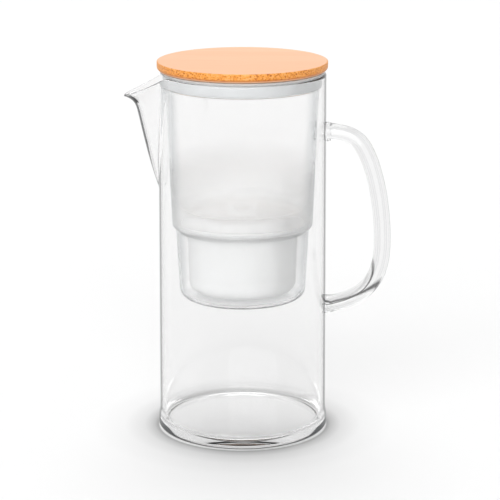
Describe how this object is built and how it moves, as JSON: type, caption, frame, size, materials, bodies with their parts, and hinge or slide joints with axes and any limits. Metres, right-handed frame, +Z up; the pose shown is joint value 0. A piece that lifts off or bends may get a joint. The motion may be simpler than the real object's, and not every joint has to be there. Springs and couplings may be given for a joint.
{
  "type": "water filter jug",
  "caption": "Tall clear glass water jug with a pulled spout and a rod handle, a drop-in translucent hopper that holds a filter cartridge, and a round bamboo lid that lifts off.",
  "frame": {"origin": "on the jug's axis, on the plane that it stands on", "axes": "+Z up along the jug's axis, +X towards the handle, -X towards the spout"},
  "size_m": [0.1974, 0.1272, 0.2783],
  "materials": {
    "clear_glass": "clear polished borosilicate glass",
    "hopper_plastic": "translucent moulded copolyester",
    "clear_silicone": "satin translucent silicone",
    "grey_silicone": "satin grey silicone",
    "cartridge_plastic": "fine satin moulded polypropylene",
    "felt": "needled polyester felt",
    "resin_beads": "loose ion-exchange beads",
    "carbon_granules": "loose activated carbon granules",
    "bamboo": "fine sanded and oiled laminated bamboo"
  },
  "bodies": {
    "jug": {"glass_jug": "clear_glass", "glass_handle": "clear_glass"},
    "hopper_set": {"hopper": "hopper_plastic", "mouth_band": "clear_silicone", "outlet_grommet": "grey_silicone"},
    "cartridge": {"cartridge_cup": "cartridge_plastic", "cartridge_cap": "cartridge_plastic", "cartridge_gasket": "clear_silicone", "outlet_strainer": "cartridge_plastic", "bottom_felt": "felt", "resin_bed": "resin_beads", "middle_felt": "felt", "carbon_bed": "carbon_granules", "top_felt": "felt"},
    "lid": {"lid_board": "bamboo", "lid_plug": "bamboo", "lid_ring": "clear_silicone"}
  },
  "joints": [
    {"name": "hopper_lift", "type": "slide", "parent": "jug", "child": "hopper_set", "axis": [0, 0, 1], "range_m": [0, 0.18]},
    {"name": "cartridge_lift", "type": "slide", "parent": "hopper_set", "child": "cartridge", "axis": [0, 0, 1], "range_m": [0, 0.18]},
    {"name": "lid_lift", "type": "slide", "parent": "cartridge", "child": "lid", "axis": [0, 0, 1], "range_m": [0, 0.08]}
  ]
}
